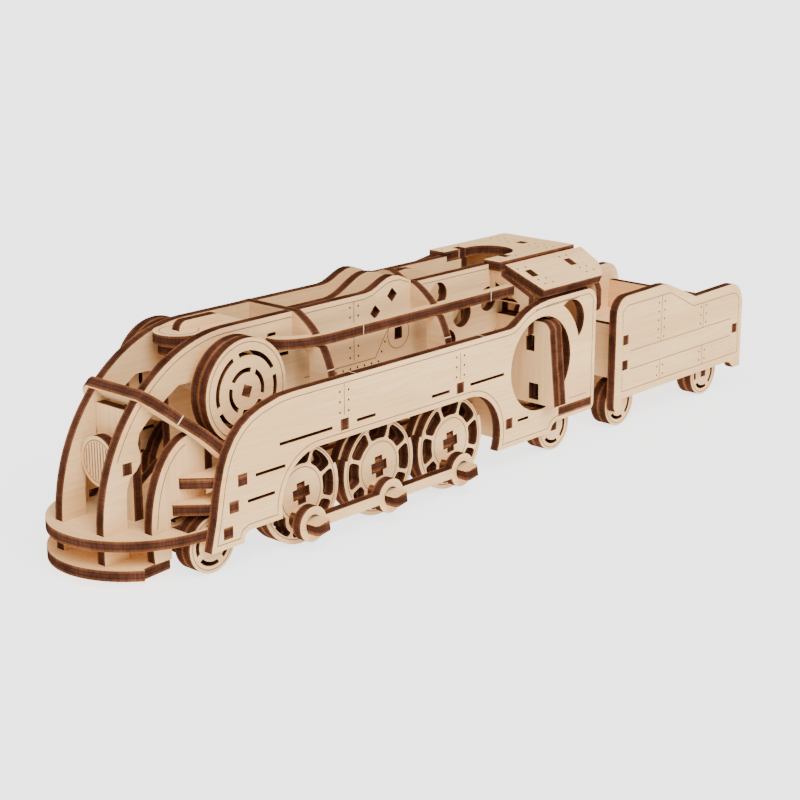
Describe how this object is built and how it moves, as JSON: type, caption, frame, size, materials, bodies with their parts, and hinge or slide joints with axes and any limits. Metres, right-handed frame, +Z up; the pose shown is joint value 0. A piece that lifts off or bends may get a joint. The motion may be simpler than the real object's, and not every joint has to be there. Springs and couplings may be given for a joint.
{
  "type": "wooden 3D jigsaw locomotive model",
  "caption": "Push-together plywood model of a streamlined steam locomotive with a hinged four-wheel tender, turning wheels and coupling rods.",
  "frame": {"origin": "centre of the base: middle of the length and width, on the surface the wheels stand on", "axes": "+X towards the tender, so the nose points to -X; +Y to the right-hand side seen from above with the nose to the left; +Z up"},
  "size_m": [0.2776, 0.0718, 0.0638],
  "materials": {
    "birch_ply": "matt, laser-cut",
    "peg_ply": "matt, laser-cut",
    "band_rubber": "satin"
  },
  "bodies": {
    "chassis": {"side_panel_left": "birch_ply", "side_panel_right": "birch_ply", "boiler_plate_left": "birch_ply", "boiler_plate_right": "birch_ply", "nose_ribs": "birch_ply", "bumper_upper": "birch_ply", "bumper_lower": "birch_ply", "nose_hoop": "birch_ply", "headlight_grille": "birch_ply", "headlight_plate": "birch_ply", "nose_hatch": "birch_ply", "crest_fin": "birch_ply", "pilot_steps": "birch_ply", "hoop_front": "birch_ply", "hoop_rear": "birch_ply", "handrails": "birch_ply", "dome_plate": "birch_ply", "roof_top": "birch_ply", "roof_sides": "birch_ply", "roof_bow": "birch_ply", "cab_front_wall": "birch_ply", "cab_rear_wall": "birch_ply", "bulkhead_front": "birch_ply", "bulkhead_rear": "birch_ply", "cab_floor": "birch_ply", "axle_frames": "birch_ply", "cross_beam": "birch_ply"},
    "winding": {"winding_axle": "peg_ply", "winding_discs": "birch_ply", "winding_backs": "birch_ply", "rubber_band": "band_rubber"},
    "drive_1": {"drive_axle_1": "peg_ply", "drive_wheels_1": "birch_ply", "wheel_backs_1": "birch_ply", "crank_pins_1": "peg_ply"},
    "drive_2": {"drive_axle_2": "peg_ply", "drive_wheels_2": "birch_ply", "wheel_backs_2": "birch_ply", "crank_pins_2": "peg_ply"},
    "drive_3": {"drive_axle_3": "peg_ply", "drive_wheels_3": "birch_ply", "wheel_backs_3": "birch_ply", "crank_pins_3": "peg_ply"},
    "rod_left": {"coupling_rod_left": "birch_ply"},
    "rod_right": {"coupling_rod_right": "birch_ply"},
    "pony": {"pony_axle": "peg_ply", "pony_wheels": "birch_ply"},
    "trailing": {"trailing_axle": "peg_ply", "trailing_wheels": "birch_ply"},
    "tender": {"drawbar": "birch_ply", "tender_floor": "birch_ply", "tender_frames": "birch_ply", "tender_front_wall": "birch_ply", "tender_rear_wall": "birch_ply", "tender_panel_left": "birch_ply", "tender_panel_right": "birch_ply"},
    "tender_front_axle": {"tender_axle_front": "peg_ply", "tender_wheels_front": "birch_ply"},
    "tender_rear_axle": {"tender_axle_rear": "peg_ply", "tender_wheels_rear": "birch_ply"}
  },
  "joints": [
    {"name": "winding_spin", "type": "hinge", "parent": "chassis", "child": "winding", "pos_m": [-0.091, 0, 0.0446], "axis": [0, 1, 0], "continuous": true},
    {"name": "drive_spin_1", "type": "hinge", "parent": "chassis", "child": "drive_1", "pos_m": [-0.0779, 0, 0.0143], "axis": [0, 1, 0], "continuous": true},
    {"name": "drive_spin_2", "type": "hinge", "parent": "chassis", "child": "drive_2", "pos_m": [-0.047, 0, 0.0143], "axis": [0, 1, 0], "continuous": true},
    {"name": "drive_spin_3", "type": "hinge", "parent": "chassis", "child": "drive_3", "pos_m": [-0.0161, 0, 0.0143], "axis": [0, 1, 0], "continuous": true},
    {"name": "rod_spin_left", "type": "hinge", "parent": "drive_2", "child": "rod_left", "pos_m": [-0.04908, -0.03005, 0.00751], "axis": [0, 1, 0], "continuous": true},
    {"name": "rod_spin_right", "type": "hinge", "parent": "drive_2", "child": "rod_right", "pos_m": [-0.04908, 0.03005, 0.00751], "axis": [0, 1, 0], "continuous": true},
    {"name": "pony_spin", "type": "hinge", "parent": "chassis", "child": "pony", "pos_m": [-0.1089, 0, 0.0078], "axis": [0, 1, 0], "continuous": true},
    {"name": "trailing_spin", "type": "hinge", "parent": "chassis", "child": "trailing", "pos_m": [0.0342, 0, 0.0078], "axis": [0, 1, 0], "continuous": true},
    {"name": "tender_swing", "type": "hinge", "parent": "chassis", "child": "tender", "pos_m": [0.0591, 0, 0.0135], "axis": [0, 0, 1], "range_deg": [-12, 12]},
    {"name": "tender_front_spin", "type": "hinge", "parent": "tender", "child": "tender_front_axle", "pos_m": [0.0698, 0, 0.0078], "axis": [0, 1, 0], "continuous": true},
    {"name": "tender_rear_spin", "type": "hinge", "parent": "tender", "child": "tender_rear_axle", "pos_m": [0.1204, 0, 0.0078], "axis": [0, 1, 0], "continuous": true}
  ],
  "couplings": [
    {"joint": "drive_spin_1", "follows": "drive_spin_2", "ratio": 1},
    {"joint": "drive_spin_3", "follows": "drive_spin_2", "ratio": 1},
    {"joint": "rod_spin_left", "follows": "drive_spin_2", "ratio": -1},
    {"joint": "rod_spin_right", "follows": "drive_spin_2", "ratio": -1}
  ]
}
